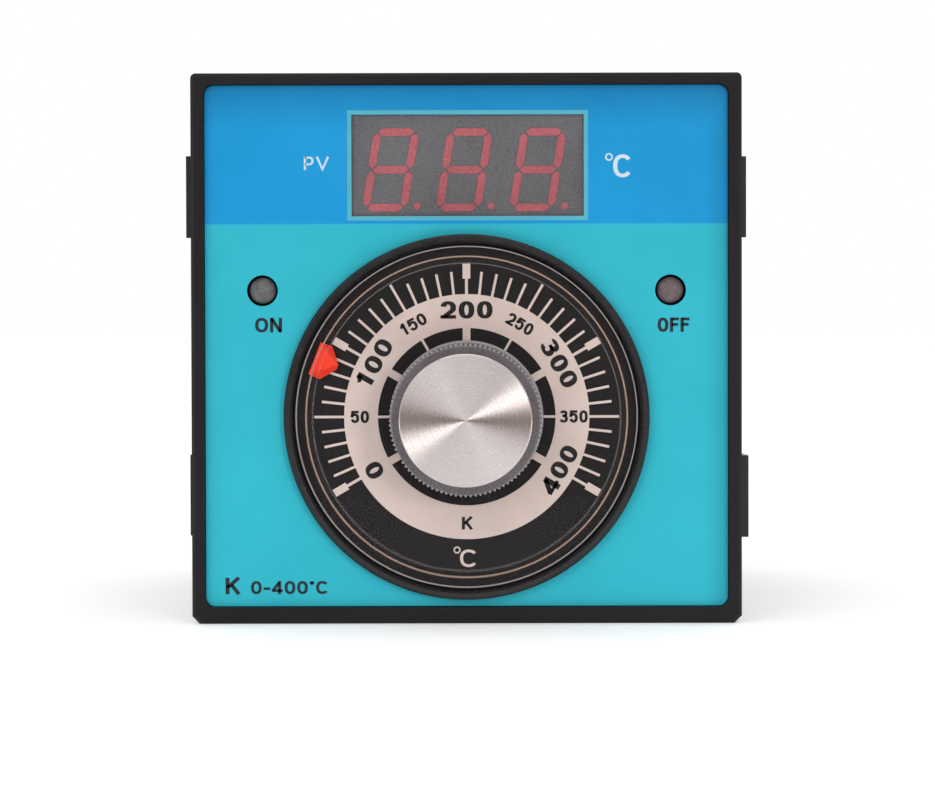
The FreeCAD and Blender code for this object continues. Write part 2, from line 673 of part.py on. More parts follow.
def build_trimmers():
    trimmers = []
    for x in (6.0, 17.0):
        block = box((x - 4.8, x + 4.8), (34.0, 39.0), (TOP, TOP + 10.0))
        trimmers.append(block.cut(box((x - 1.5, x + 1.5), (36.2, 36.8), (TOP + 9.4, TOP + 11))))
    return trimmers


def build_diodes():
    diodes = []
    for index in range(4):
        x = -34.0 + 6.0 * index
        body = Part.makeCylinder(1.4, 5.2, FreeCAD.Vector(x, 28.0, TOP + 1.8), BACK)
        lead = Part.makeCylinder(0.4, 9.2, FreeCAD.Vector(x, 26.0, TOP + 1.8), BACK)
        legs = [post(x, y, 0.4, TOP, TOP + 1.8) for y in (26.4, 34.8)]
        diodes.append(joined([body, lead] + legs))
    return diodes


RIBBON_X = (16.0, 34.0)


def build_ribbon():
    """Flat cable from the display board down and back to the main board, between two sockets."""
    thick = 0.9
    top_z = 8.5
    y0 = DISPLAY_BOARD_Y + BOARD + 6.0
    outline = [(y0, top_z), (y0 + 2.0, top_z - 0.8), (y0 + 2.9, top_z - 3.0)]
    outline += [(y0 + 3.5, TOP + 10.0), (11.0, TOP + 7.0)]
    inner = [(11.0 - thick, TOP + 7.0), (y0 + 3.5 - thick, TOP + 9.8)]
    inner += [(y0 + 2.9 - thick, top_z - 2.6), (y0 + 1.6, top_z - 1.6), (y0, top_z - thick)]
    return profile_x(outline + inner, *RIBBON_X)


def build_ribbon_sockets():
    y0 = DISPLAY_BOARD_Y + BOARD
    upper = box((RIBBON_X[0] - 1, RIBBON_X[1] + 1), (y0, y0 + 6.0), (5.5, 11.5))
    lower = box((RIBBON_X[0] - 1, RIBBON_X[1] + 1), (8.0, 13.0), (TOP, TOP + 7.0))
    return [upper, lower]


def build_board_header():
    """Angled row of pins that joins the main board to the rear board."""
    pins = []
    for index in range(8):
        x = 2.0 + 3.96 * index
        level = box((x - 0.5, x + 0.5), (66.0, REAR_BOARD_Y), (TOP + 3.0, TOP + 4.0))
        leg = box((x - 0.5, x + 0.5), (66.0, 67.0), (TOP, TOP + 4.0))
        pins.append(joined([level, leg]))
    return pins


# ---------------------------------------------------------------- write every node

save("bezel", build_bezel())
save("face_overlay", build_overlay())
save("display_window", build_window())
save("dial_ring", build_dial_ring())
save("scale_plate", build_scale_plate())
save("dial_knob", build_knob())
save("dial_pointer", build_pointer())
save("knob_cap", build_knob_cap())
save("knob_insert", build_knob_insert())
save("dial_shaft", build_shaft())
save("potentiometer", build_pot_body())
save("potentiometer_nut", build_pot_nut())
save("potentiometer_washer", build_pot_washer())
save("potentiometer_lugs", build_pot_lugs())
display_shell, display_segments, display_pins = build_display()
save("display_module", display_shell)
save("display_segments", display_segments)
save("display_pins", display_pins)
save("lamp_on", build_lamp(-1))
save("lamp_off", build_lamp(1))
save("display_board", build_display_board())
save("display_board_screws", build_display_board_screws())
save("housing", build_housing())
save("rear_cover", build_rear_cover())
save("rear_cover_screws", build_cover_screws())
for corner_name in CLAMP_FRONT_Y:
    save("clamp_" + corner_name, build_clamp(corner_name))
save("terminal_block_left", build_terminal_block(-1))
save("terminal_block_right", build_terminal_block(1))
contact_plates, square_washers, wire_screws = build_terminal_hardware()
save("terminal_plates", contact_plates)
save("terminal_washers", square_washers)
save("terminal_screws", wire_screws)
save("main_board", build_main_board())
save("rear_board", build_rear_board())
transformer_core, transformer_coil = build_transformer()
save("transformer_core", transformer_core)
save("transformer_coil", transformer_coil)
save("output_relay", build_relay())
save("capacitors", build_capacitors())
regulator_sink, regulator_body = build_regulator()
save("heatsink", regulator_sink)
save("regulator", regulator_body)
save("amplifier_chips", build_chips())
save("calibration_trimmers", build_trimmers())
save("rectifier_diodes", build_diodes())
save("ribbon_cable", build_ribbon())
save("ribbon_sockets", build_ribbon_sockets())
save("board_header", build_board_header())
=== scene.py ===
"""Looks for the panel-mounted oven temperature controller: materials, printed ink, lights and camera."""
import math

import bpy
from mathutils import Matrix, Vector


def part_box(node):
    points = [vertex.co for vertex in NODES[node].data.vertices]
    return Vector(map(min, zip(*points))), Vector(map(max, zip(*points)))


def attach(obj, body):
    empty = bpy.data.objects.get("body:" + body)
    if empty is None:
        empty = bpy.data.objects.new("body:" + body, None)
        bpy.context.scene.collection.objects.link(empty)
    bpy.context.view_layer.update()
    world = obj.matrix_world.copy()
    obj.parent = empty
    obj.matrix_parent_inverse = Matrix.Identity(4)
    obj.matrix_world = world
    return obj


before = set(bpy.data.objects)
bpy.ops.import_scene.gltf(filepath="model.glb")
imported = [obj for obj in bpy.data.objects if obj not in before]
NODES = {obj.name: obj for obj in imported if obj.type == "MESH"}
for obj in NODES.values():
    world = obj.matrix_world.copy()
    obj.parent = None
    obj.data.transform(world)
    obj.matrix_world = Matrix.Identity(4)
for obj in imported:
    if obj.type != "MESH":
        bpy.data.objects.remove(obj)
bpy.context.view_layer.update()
MM = 0.001


# ---------------------------------------------------------------- places, read from the frame

def middle(node):
    low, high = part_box(node)
    return (low + high) / 2


BEZEL_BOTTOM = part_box("bezel")[0].z
FACE_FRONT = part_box("face_overlay")[0].y
PLATE_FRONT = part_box("scale_plate")[0].y
DIAL = Vector((middle("dial_ring").x, 0, middle("dial_ring").z))
WINDOW_LOW, WINDOW_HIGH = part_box("display_window")
INK = 0.03 * MM           # how far a printed layer's front stands out
INK_GAP = 0.002 * MM      # how far its back stands off the surface
BAND_EDGE = 21.7 * MM     # height of the line between the blue band and the teal field
STRAIGHT_MIRROR = 0.002   # share of light that clear plastic mirrors when seen straight on

GRIP_VALLEY = 12.55 * MM  # radii on the dial: the grip's knurling, where the grip ends and the disc begins, and the painted highlight lines on the edges and top of the stepped disc
GRIP_CREST = 13.05 * MM   # the disc begins, and the worked edges of the stepped disc
GRIP_EDGE = (13.25 * MM, 13.4 * MM)
DISC_RIM = (29.62 * MM, 29.95 * MM)
DISC_FOOT = (27.85 * MM, 28.1 * MM)
DISC_CROWN = (26.72 * MM, 26.88 * MM)
# radii where the painted highlights take a warm tint, a painted reflection
WARM_REFLECTION_SLOPE = (27.0 * MM, 28.4 * MM)


# ---------------------------------------------------------------- a small node-material kit

class Nodes:
    """A node tree under construction."""

    def __init__(self, tree):
        self.tree = tree

    def put(self, socket, value):
        if isinstance(value, bpy.types.NodeSocket):
            self.tree.links.new(value, socket)
        elif socket.type == "RGBA":
            socket.default_value = (*value[:3], 1.0)
        else:
            socket.default_value = value

    def add(self, kind, attributes=None, **inputs):
        made = self.tree.nodes.new(kind)
        for key, value in (attributes or {}).items():
            setattr(made, key, value)
        for key, value in inputs.items():
            self.put(made.inputs[key.replace("_", " ")], value)
        return made

    def math(self, operation, a, b=0.0, c=0.0):
        made = self.add("ShaderNodeMath", {"operation": operation})
        for socket, value in zip(made.inputs, (a, b, c)):
            self.put(socket, value)
        return made.outputs[0]

    def spread(self, value, low, high, start=0.3, end=0.7):
        """A value between start and end, carried to between low and high."""
        made = self.add("ShaderNodeMapRange", Value=value, From_Min=start, From_Max=end,
                        To_Min=low, To_Max=high)
        return made.outputs[0]

    def between(self, factor, first, second):
        made = self.add("ShaderNodeMix", {"data_type": "RGBA"})
        self.put(made.inputs["Factor"], factor)
        self.put(made.inputs[6], first)
        self.put(made.inputs[7], second)
        return made.outputs[2]


class Shader(Nodes):
    """A node material under construction. Lengths are in metres, in the part's own frame."""

    def __init__(self, name, **settings):
        self.material = bpy.data.materials.new(name)
        self.material.use_nodes = True
        super().__init__(self.material.node_tree)
        self.main = self.tree.nodes["Principled BSDF"]
        self.output = self.tree.nodes["Material Output"]
        self.place = self.add("ShaderNodeTexCoord").outputs["Object"]
        for socket, value in settings.items():
            self.give(socket.replace("_", " "), value)

    def give(self, socket, value):
        """Puts a value or a link on a socket of the main shader."""
        self.put(self.main.inputs[socket], value)

    def stretched(self, scale):
        made = self.add("ShaderNodeMapping", Vector=self.place)
        made.inputs["Scale"].default_value = scale
        return made.outputs[0]

    def noise(self, size, detail=3.0, rough=0.55, place=None):
        """Noise whose features are about size metres across."""
        made = self.add("ShaderNodeTexNoise", Vector=place or self.place, Scale=1.0 / size,
                        Detail=detail, Roughness=rough)
        return made.outputs["Fac"]

    def along(self, axis):
        return self.add("ShaderNodeSeparateXYZ", Vector=self.place).outputs[axis]

    def radius(self):
        """Distance from the dial's axis."""
        arm = self.add("ShaderNodeVectorMath", {"operation": "SUBTRACT"})
        self.put(arm.inputs[0], self.place)
        arm.inputs[1].default_value = DIAL
        level = self.add("ShaderNodeVectorMath", {"operation": "MULTIPLY"})
        self.put(level.inputs[0], arm.outputs[0])
        level.inputs[1].default_value = (1, 0, 1)
        length = self.add("ShaderNodeVectorMath", {"operation": "LENGTH"})
        self.put(length.inputs[0], level.outputs[0])
        return length.outputs["Value"]

    def band(self, value, low, high, soft):
        """1 between low and high, 0 outside, with soft edges."""
        rise = self.spread(value, 0.0, 1.0, low - soft, low + soft)
        fall = self.spread(value, 1.0, 0.0, high - soft, high + soft)
        return self.math("MULTIPLY", rise, fall)

    def rounded(self, edge):
        """Normals that soften the sharp edges of a moulding."""
        made = self.add("ShaderNodeBevel", {"samples": 4}, Radius=edge)
        return made.outputs[0]

    def bump(self, height, depth, normal=None):
        made = self.add("ShaderNodeBump", Height=height, Distance=depth, Strength=1.0)
        if normal is not None:
            self.put(made.inputs["Normal"], normal)
        return made.outputs[0]

    def mixed(self, factor, first, second):
        """Two shaders, the second one showing by factor."""
        mix = self.add("ShaderNodeMixShader")
        self.put(mix.inputs[0], factor)
        self.tree.links.new(first, mix.inputs[1])
        self.tree.links.new(second, mix.inputs[2])
        return mix.outputs[0]

    def surface(self, shader):
        self.tree.links.new(shader, self.output.inputs["Surface"])


def shade(colour, amount):
    return tuple(min(1.0, max(0.0, channel * amount)) for channel in colour)


# ---------------------------------------------------------------- materials

MOTTLE = 0.15             # how much lighter and darker a moulding's colour clouds are
SCUFF_GLOW = 2.2          # a scuff's colour, as a multiple of the moulding's


def moulded(name, colour, roughness=0.5, grain=0.4, depth=0.012, specular=0.4, edge=0.25):
    """Moulded plastic with a fine eroded grain, faint mottling and softened edges."""
    s = Shader(name)
    fine = s.noise(grain * MM, detail=2.0)
    broad = s.noise(18 * MM, detail=4.0)
    scuff = s.noise(3 * MM, detail=6.0, rough=0.7, place=s.stretched((1, 1, 0.25)))
    tone = s.between(s.spread(broad, 0.0, 1.0), shade(colour, 1 - MOTTLE), shade(colour, 1 + MOTTLE))
    worn = s.spread(scuff, 0, 0.25, 0.62, 0.8)
    s.give("Base Color", s.between(worn, tone, shade(colour, SCUFF_GLOW)))
    s.give("Roughness", s.math("ADD", s.spread(fine, -0.04, 0.04),
                               s.spread(scuff, roughness - 0.06, roughness + 0.08)))
    s.give("Specular IOR Level", specular)
    s.give("Normal", s.bump(fine, depth * MM, s.rounded(edge * MM)))
    return s.material


TARNISH = 0.2             # how much darker tarnished metal is


def metal(name, colour, roughness=0.3, streak=(1, 1, 1)):
    """Plated or turned metal with fine streaks, uneven gloss and a little tarnish."""
    s = Shader(name, Metallic=1.0)
    lines = s.noise(0.15 * MM, detail=3.0, place=s.stretched(streak))
    cloud = s.noise(4 * MM, detail=5.0, rough=0.65)
    dull = s.spread(cloud, 0.0, 1.0, 0.35, 0.75)
    s.give("Base Color", s.between(dull, colour, shade(colour, 1 - TARNISH)))
    s.give("Roughness", s.math("ADD", s.spread(lines, -0.07, 0.07),
                               s.spread(cloud, roughness - 0.05, roughness + 0.1)))
    s.give("Normal", s.bump(lines, 0.004 * MM, s.rounded(0.12 * MM)))
    return s.material


def printed_face():
    """Matt film, printed blue above and teal below, with a lighter seam where the inks meet, and painted
    shade near its top and right edges.
    """
    s = Shader("face_print", Specular_IOR_Level=0.15)
    height = s.along("Z")
    grain = s.noise(0.25 * MM, detail=2.0)
    cloud = s.noise(14 * MM, detail=3.0)
    blue = s.between(s.spread(cloud, 0, 1), (0.006, 0.295, 0.63), (0.011, 0.32, 0.68))
    teal = s.between(s.spread(cloud, 0, 1), (0.026, 0.455, 0.565), (0.032, 0.485, 0.60))
    field = s.between(s.spread(height, 0, 1, BAND_EDGE - 0.15 * MM, BAND_EDGE + 0.15 * MM), teal, blue)
    seam = s.band(height, BAND_EDGE - 0.5 * MM, BAND_EDGE + 0.1 * MM, 0.1 * MM)
    colour = s.between(s.math("MULTIPLY", seam, 0.5), field, (0.036, 0.46, 0.66))
    # painted shadow of the bezel's rim: darker towards the top and right edges
    top = s.spread(height, 0.0, 0.34, 38 * MM, 46 * MM)
    side = s.spread(s.along("X"), 0.0, 0.22, 41.5 * MM, 45.7 * MM)
    s.give("Base Color", s.between(s.math("MAXIMUM", top, side), colour, (0.0, 0.02, 0.08)))
    s.give("Roughness", s.spread(grain, 0.38, 0.5))
    s.give("Normal", s.bump(grain, 0.006 * MM))
    return s.material


def ink(name, colour, roughness=0.55):
    """A screen-printed layer: nearly even, with fine speckle."""
    s = Shader(name, Specular_IOR_Level=0.3)
    speck = s.noise(0.12 * MM, detail=3.0)
    wash = s.noise(6 * MM, detail=3.0)
    tone = s.between(s.spread(wash, 0, 1), shade(colour, 0.95), shade(colour, 1.04))
    worn = s.spread(speck, 0, 0.3, 0.55, 0.8)
    s.give("Base Color", s.between(worn, tone, shade(colour, 0.8)))
    s.give("Roughness", s.spread(speck, roughness - 0.08, roughness + 0.08))
    s.give("Normal", s.bump(speck, 0.003 * MM))
    return s.material


def see_through(s, tint, roughness, normal=None):
    """A clear film or sheet: it lets light straight on and mirrors a little, more at a low angle."""
    clear = s.add("ShaderNodeBsdfTransparent", Color=tint)
    mirror = s.add("ShaderNodeBsdfGlossy", Color=(1, 1, 1), Roughness=roughness)
    if normal is not None:
        s.put(mirror.inputs["Normal"], normal)
    slant = s.add("ShaderNodeLayerWeight", Blend=0.5).outputs["Facing"]
    share = s.math("MULTIPLY_ADD", s.math("POWER", slant, 5.0), 1 - STRAIGHT_MIRROR, STRAIGHT_MIRROR)
    return s.mixed(share, clear.outputs[0], mirror.outputs[0])


def tinted_window():
    """Smoked sheet with a slight haze, ripple and speckle."""
    s = Shader("tinted_window")
    haze = s.noise(5 * MM, detail=4.0)
    ripple = s.bump(haze, 0.01 * MM)
    speck = s.spread(s.noise(0.35 * MM, detail=1.0), 0.0, 1.0)
    tint = s.between(speck, (0.80, 0.79, 0.80), (0.91, 0.89, 0.90))
    s.surface(see_through(s, tint, s.spread(haze, 0.08, 0.16), ripple))
    return s.material


def clear_dial():
    """Clear disc with painted highlight lines on its edges and top, one tinted warm as a painted
    reflection, and a grey knurled grip that light barely enters.
    """
    s = Shader("clear_dial", Base_Color=(0.105, 0.092, 0.10), Specular_IOR_Level=0.55)
    r = s.radius()
    flow = s.noise(9 * MM, detail=3.0)
    fine = s.noise(0.3 * MM, detail=2.0)
    disc = see_through(s, (0.99, 0.986, 0.985), s.spread(flow, 0.03, 0.09))
    # the grip
    s.give("Roughness", s.spread(fine, 0.22, 0.34))
    ridge = s.spread(r, 0, 1, GRIP_VALLEY, GRIP_CREST)
    smoke = s.between(s.spread(flow, 0, 1), (0.085, 0.07, 0.078), (0.12, 0.104, 0.11))
    s.give("Base Color", s.between(ridge, smoke, (0.42, 0.39, 0.40)))
    s.give("Normal", s.bump(fine, 0.004 * MM, s.rounded(0.08 * MM)))
    clean = s.mixed(s.spread(r, 1, 0, *GRIP_EDGE), disc, s.main.outputs[0])
    # painted highlights: pale lines on the disc's edges and top, mixed over the clear disc as a diffuse
    # colour
    rim = s.band(r, *DISC_RIM, 0.05 * MM)
    foot = s.math("MULTIPLY", s.band(r, *DISC_FOOT, 0.07 * MM), 0.75)
    crown = s.math("MULTIPLY", s.band(r, *DISC_CROWN, 0.05 * MM), 0.24)
    lines = s.math("MULTIPLY", s.math("MAXIMUM", s.math("MAXIMUM", rim, foot), crown), 0.6)
    # painted reflection: a warm tint on the highlight line at the disc's foot
    warm_reflection_mask = s.band(r, *WARM_REFLECTION_SLOPE, 0.1 * MM)
    painted_highlight = s.add("ShaderNodeBsdfDiffuse", Color=s.between(warm_reflection_mask, (0.55, 0.50, 0.49), (0.60, 0.42, 0.33)))
    s.surface(s.mixed(lines, clean, painted_highlight.outputs[0]))
    return s.material


RINGS_PER_METRE = 9000.0  # turning marks on the cap


def spun_cap():
    """Aluminium turned on a lathe: fine rings that draw each light into a fan through the centre."""
    s = Shader("spun_cap", Metallic=1.0, Anisotropic=0.96, Anisotropic_Rotation=0.25)
    r = s.radius()
    rings = s.add("ShaderNodeTexNoise", {"noise_dimensions": "1D"}, Detail=4.0, Roughness=0.7)
    s.put(rings.inputs["W"], s.math("MULTIPLY", r, RINGS_PER_METRE))
    s.put(rings.inputs["Scale"], 1.0)
    groove = rings.outputs["Fac"]
    bright = s.spread(groove, 0, 1, 0.3, 0.7)
    s.give("Base Color", s.between(bright, (0.77, 0.70, 0.695), (0.83, 0.77, 0.765)))
    s.give("Roughness", s.spread(groove, 0.22, 0.30))
    s.give("Tangent", s.add("ShaderNodeTangent", {"direction_type": "RADIAL", "axis": "Y"}).outputs[0])
    away = s.spread(r, 0.0, 1.0, 0.6 * MM, 2.5 * MM)
    s.give("Normal", s.bump(s.math("MULTIPLY", groove, away), 0.0003 * MM))
    return s.material


def circuit_board(name):
    """Green lacquer over copper tracks, with pale pads."""
    s = Shader(name, Specular_IOR_Level=0.5)
    weave = s.noise(0.5 * MM, detail=2.0)
    cells = s.add("ShaderNodeTexVoronoi", {"distance": "MANHATTAN", "feature": "F1"},
                  Vector=s.place, Scale=1 / (5 * MM), Randomness=0.35)
    track = s.math("PINGPONG", s.math("MULTIPLY", cells.outputs["Distance"], 5.0), 1.0)
    copper = s.spread(track, 0, 1, 0.45, 0.55)
    pad = s.spread(cells.outputs["Distance"], 1, 0, 0.1, 0.13)
    lacquer = s.between(copper, (0.012, 0.10, 0.035), (0.03, 0.20, 0.07))
    s.give("Base Color", s.between(pad, lacquer, (0.55, 0.54, 0.50)))
    s.give("Roughness", s.spread(weave, 0.3, 0.42))
    s.give("Normal", s.bump(s.math("ADD", copper, s.math("MULTIPLY", weave, 0.2)), 0.03 * MM))
    return s.material


def laminated(name, colour, pitch, axis):
    """Stacked sheets or wound turns that show as fine lines along one axis."""
    s = Shader(name, Specular_IOR_Level=0.4)
    turns = s.math("PINGPONG", s.math("MULTIPLY", s.along(axis), 1 / pitch), 1.0)
    cloud = s.noise(3 * MM, detail=4.0)
    tone = s.between(s.spread(cloud, 0, 1), shade(colour, 0.8), shade(colour, 1.2))
    flat = s.spread(turns, 0, 1, 0.0, 0.5)
    s.give("Base Color", s.between(flat, shade(colour, 0.35), tone))
    s.give("Roughness", s.spread(cloud, 0.4, 0.6))
    s.give("Normal", s.bump(turns, 0.05 * MM))
    return s.material


def lens(name, colour):
    """Epoxy dome of an unlit lamp: smooth and slightly cloudy."""
    s = Shader(name, Specular_IOR_Level=0.3)
    cloud = s.noise(1.2 * MM, detail=3.0)
    tone = s.between(s.spread(cloud, 0, 1), shade(colour, 0.75), shade(colour, 1.25))
    s.give("Base Color", tone)
    s.give("Roughness", s.spread(cloud, 0.3, 0.42))
    s.give("Normal", s.bump(cloud, 0.01 * MM))
    return s.material


def paint(material, *names):
    for name in names:
        if not NODES[name].material_slots:
            NODES[name].data.materials.append(material)
        for slot in NODES[name].material_slots:
            slot.material = material


def paint_everything():
    black = moulded("black_moulding", (0.0115, 0.0098, 0.0118), 0.46, grain=0.35, specular=0.16)
    case = moulded("housing_moulding", (0.016, 0.0155, 0.017), 0.5, grain=0.5, depth=0.02)
    clamp = moulded("clamp_moulding", (0.014, 0.0135, 0.015), 0.42, grain=0.3)
    terminal = moulded("terminal_moulding", (0.012, 0.0115, 0.0125), 0.32, grain=0.3, specular=0.5)
    steel = metal("zinc_plate", (0.60, 0.60, 0.60), 0.28, streak=(1, 1, 6))
    tinned = metal("tinned_contact", (0.66, 0.63, 0.56), 0.25)
    brass = metal("brass", (0.74, 0.53, 0.24), 0.26, streak=(1, 6, 1))
    board = circuit_board("circuit_board")
    epoxy = moulded("black_epoxy", (0.018, 0.018, 0.018), 0.55, grain=0.2)
    ring = moulded("ring_moulding", (0.010, 0.0095, 0.011), 0.3, grain=0.5, depth=0.006, specular=0.45)
    shell = moulded("display_grey", (0.262, 0.282, 0.284), 0.55, grain=0.2, specular=0.2)
    segment = moulded("segment_red", (0.80, 0.25, 0.27), 0.4, grain=0.25, specular=0.2, edge=0.05)
    paint(black, "bezel")
    paint(ring, "dial_ring")
    paint(case, "housing", "rear_cover")
    paint(clamp, *(name for name in NODES if name.startswith("clamp_")))
    paint(terminal, "terminal_block_left", "terminal_block_right")
    paint(printed_face(), "face_overlay")
    paint(tinted_window(), "display_window")
    paint(ink("scale_black", (0.0060, 0.0042, 0.0050), 0.65), "scale_plate")
    paint(clear_dial(), "dial_knob")
    paint(spun_cap(), "knob_cap")
    paint(ink("pointer_red", (1.0, 0.052, 0.022), 0.4), "dial_pointer")
    paint(shell, "display_module")
    paint(segment, "display_segments")
    paint(lens("lamp_grey", (0.125, 0.122, 0.126)), "lamp_on")
    paint(lens("lamp_rosy", (0.14, 0.105, 0.112)), "lamp_off")
    paint(steel, "terminal_screws", "terminal_washers", "rear_cover_screws", "display_board_screws",
          "dial_shaft", "potentiometer", "potentiometer_washer")
    paint(tinned, "terminal_plates", "potentiometer_lugs", "display_pins", "board_header")
    paint(brass, "knob_insert", "potentiometer_nut")
    paint(board, "display_board", "main_board", "rear_board")
    paint(epoxy, "regulator", "amplifier_chips", "rectifier_diodes", "ribbon_sockets")
    paint(laminated("core_steel", (0.11, 0.11, 0.12), 0.5 * MM, "Y"), "transformer_core")
    paint(laminated("coil_tape", (0.62, 0.40, 0.09), 1.0 * MM, "Z"), "transformer_coil")
    paint(moulded("relay_blue", (0.03, 0.12, 0.42), 0.3, grain=0.4), "output_relay")
    paint(moulded("capacitor_sleeve", (0.02, 0.025, 0.08), 0.3, grain=0.6), "capacitors")
    paint(moulded("trimmer_blue", (0.02, 0.16, 0.5), 0.35, grain=0.3), "calibration_trimmers")
    paint(metal("anodised_sink", (0.05, 0.05, 0.055), 0.45, streak=(1, 1, 8)), "heatsink")
    paint(laminated("ribbon_grey", (0.42, 0.42, 0.43), 0.65 * MM, "X"), "ribbon_cable")


# ---------------------------------------------------------------- printed ink, as thin raised layers

def built(name, vertices, faces, material, body="instrument"):
    mesh = bpy.data.meshes.new(name)
    mesh.from_pydata([tuple(v) for v in vertices], [], faces)
    mesh.validate()
    mesh.materials.append(material)
    piece = bpy.data.objects.new(name, mesh)
    bpy.context.scene.collection.objects.link(piece)
    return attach(piece, body)


class Print:
    """Flat closed plates gathered into one piece. Points are (x, z) pairs on the printed surface."""

    def __init__(self, front):
        self.front = front
        self.vertices = []
        self.faces = []

    def strip(self, first, second, closed=False):
        """A plate between two lines of points, first to the left of second when walked."""
        count = len(first)
        start = len(self.vertices)
        for y in (self.front - INK, self.front - INK_GAP):
            self.vertices += [(x, y, z) for x, z in first + second]
        a, b = start, start + count
        c, d = start + 2 * count, start + 3 * count
        steps = [(i, (i + 1) % count) for i in range(count if closed else count - 1)]
        for i, j in steps:
            self.faces.append((a + i, b + i, b + j, a + j))
            self.faces.append((c + i, c + j, d + j, d + i))
            self.faces.append((a + i, a + j, c + j, c + i))
            self.faces.append((b + j, b + i, d + i, d + j))
        if not closed:
            last = count - 1
            self.faces.append((a, c, d, b))
            self.faces.append((a + last, b + last, d + last, c + last))

    def ring(self, inner, outer, steps=180, centre=DIAL):
        angles = [math.radians(360.0 * i / steps) for i in range(steps)]
        lines = [[(centre.x + r * math.cos(a), centre.z + r * math.sin(a)) for a in angles]
                 for r in (outer, inner)]
        self.strip(*lines, closed=True)

    def bar(self, angle, inner, outer, width):
        """A radial tick on the dial."""
        a = math.radians(angle)
        along = Vector((math.cos(a), math.sin(a)))
        across = Vector((-math.sin(a), math.cos(a))) * width / 2
        centre = Vector((DIAL.x, DIAL.z))
        left = [tuple(centre + along * r + across) for r in (inner, outer)]
        right = [tuple(centre + along * r - across) for r in (inner, outer)]
        self.strip(left, right)

    def piece(self, name, material, slot_name):
        return built(name, self.vertices, self.faces, material)


FULLNESS = 0.86           # power that a bowl's sine and cosine are raised to; 1 is an ellipse


def swell(value):
    """Pushes a sine or cosine outwards, so that bowls are fuller than an ellipse."""
    return math.copysign(abs(value) ** FULLNESS, value)


def arc(cx, cz, rx, rz, start, end, steps):
    """Points on a full oval, angles in degrees, counted anticlockwise from the right."""
    angles = [math.radians(start + (end - start) * i / steps) for i in range(steps + 1)]
    return [(cx + rx * swell(math.cos(a)), cz + rz * swell(math.sin(a))) for a in angles]


def glyph_strokes(letter, w, h, t):
    """Centre lines of one plain upright character in a cell w wide and h high, drawn with a pen t thick."""
    e = t / 2                    # the pen's centre stays this far inside the cell
    right, top, cx, mid = w - e, h - e, w / 2, h / 2
    rx = cx - e
    low_r = (0.56 * h - e) / 2   # half height of a lower bowl
    up_r = (h - 2 * e) / 2 - low_r
    strokes = {
        "0": [arc(cx, mid, rx, mid - e, 90, 450, 32)],
        "O": [arc(cx, mid, rx, mid - e, 90, 450, 32)],
        "C": [arc(cx, mid, rx, mid - e, 38, 322, 28)],
        "1": [[(0.62 * w, 0.0), (0.62 * w, h)],
              [(0.16 * w, 0.70 * h), (0.40 * w, 0.76 * h), (0.58 * w, 0.93 * h)]],
        "2": [arc(cx, h - e - 0.27 * h, rx, 0.27 * h, 172, -35, 16) + [(e + 0.06 * w, 1.1 * e), (e, e)],
              [(0.0, e), (w, e)]],
        "3": [arc(cx, top - up_r, rx - 0.05 * w, up_r, 165, -90, 16) + [(0.36 * w, top - 2 * up_r)],
              [(0.36 * w, e + 2 * low_r)] + arc(cx, e + low_r, rx, low_r, 90, -165, 16)],
        "4": [[(0.70 * w, 0.0), (0.70 * w, h)], [(0.0, 0.27 * h), (w, 0.27 * h)],
              [(0.68 * w, h - 0.55 * t), (0.10 * w, 0.30 * h)]],
        "5": [[(0.94 * w, top), (0.24 * w, top), (0.14 * w, 0.46 * h)],
              arc(cx, e + 0.29 * h, rx, 0.29 * h, 140, -165, 18)],
        "K": [[(e, 0.0), (e, h)], [(right, h), (e, 0.40 * h)], [(0.38 * w, 0.58 * h), (right, 0.0)]],
        "N": [[(e, 0.0), (e, h)], [(right, 0.0), (right, h)], [(e, h - 0.2 * t), (right, 0.2 * t)]],
        "F": [[(e, 0.0), (e, h)], [(e, top), (w, top)], [(e, 0.52 * h), (0.9 * w, 0.52 * h)]],
        "P": [[(e, 0.0), (e, h)],
              [(e, top)] + arc(0.58 * w, top - 0.25 * h, 0.42 * w - e, 0.25 * h, 90, -90, 12)
              + [(e, top - 0.5 * h)]],
        "V": [[(0.5 * e, h), (cx, 0.5 * e), (w - 0.5 * e, h)]],
        "-": [[(0.0, 0.42 * h), (w, 0.42 * h)]],
        "o": [arc(cx, h - w / 2, rx, rx, 90, 450, 20)],
    }
    return strokes[letter]


BLUNTEST_MITRE = 0.45     # cosine past which a sharp corner's mitre stops growing


def pen_plate(points, thickness, closed):
    """Left and right edges of a pen stroke through the points, with mitred corners."""
    count = len(points)
    left, right = [], []
    for i in range(count):
        before = points[i - 1] if i or closed else points[i]
        after = points[(i + 1) % count] if i < count - 1 or closed else points[i]
        a = Vector(points[i]) - Vector(before)
        b = Vector(after) - Vector(points[i])
        a = a.normalized() if a.length > 0 else b.normalized()
        b = b.normalized() if b.length > 0 else a
        across = Vector((-(a.y + b.y), a.x + b.x))
        across = across.normalized() if across.length > 0.01 else Vector((-a.y, a.x))
        reach = thickness / 2 / max(BLUNTEST_MITRE, across.dot(Vector((-a.y, a.x))))
        left.append((points[i][0] + across.x * reach, points[i][1] + across.y * reach))
        right.append((points[i][0] - across.x * reach, points[i][1] - across.y * reach))
    return left, right


# widths relative to a digit, which is 1
SHARES = {"1": 0.86, "-": 0.62, "o": 0.42,
          "O": 1.22, "C": 1.18, "K": 1.15, "N": 1.12, "P": 1.1, "V": 1.16, "F": 1.02}
LETTER_GAP = 0.17


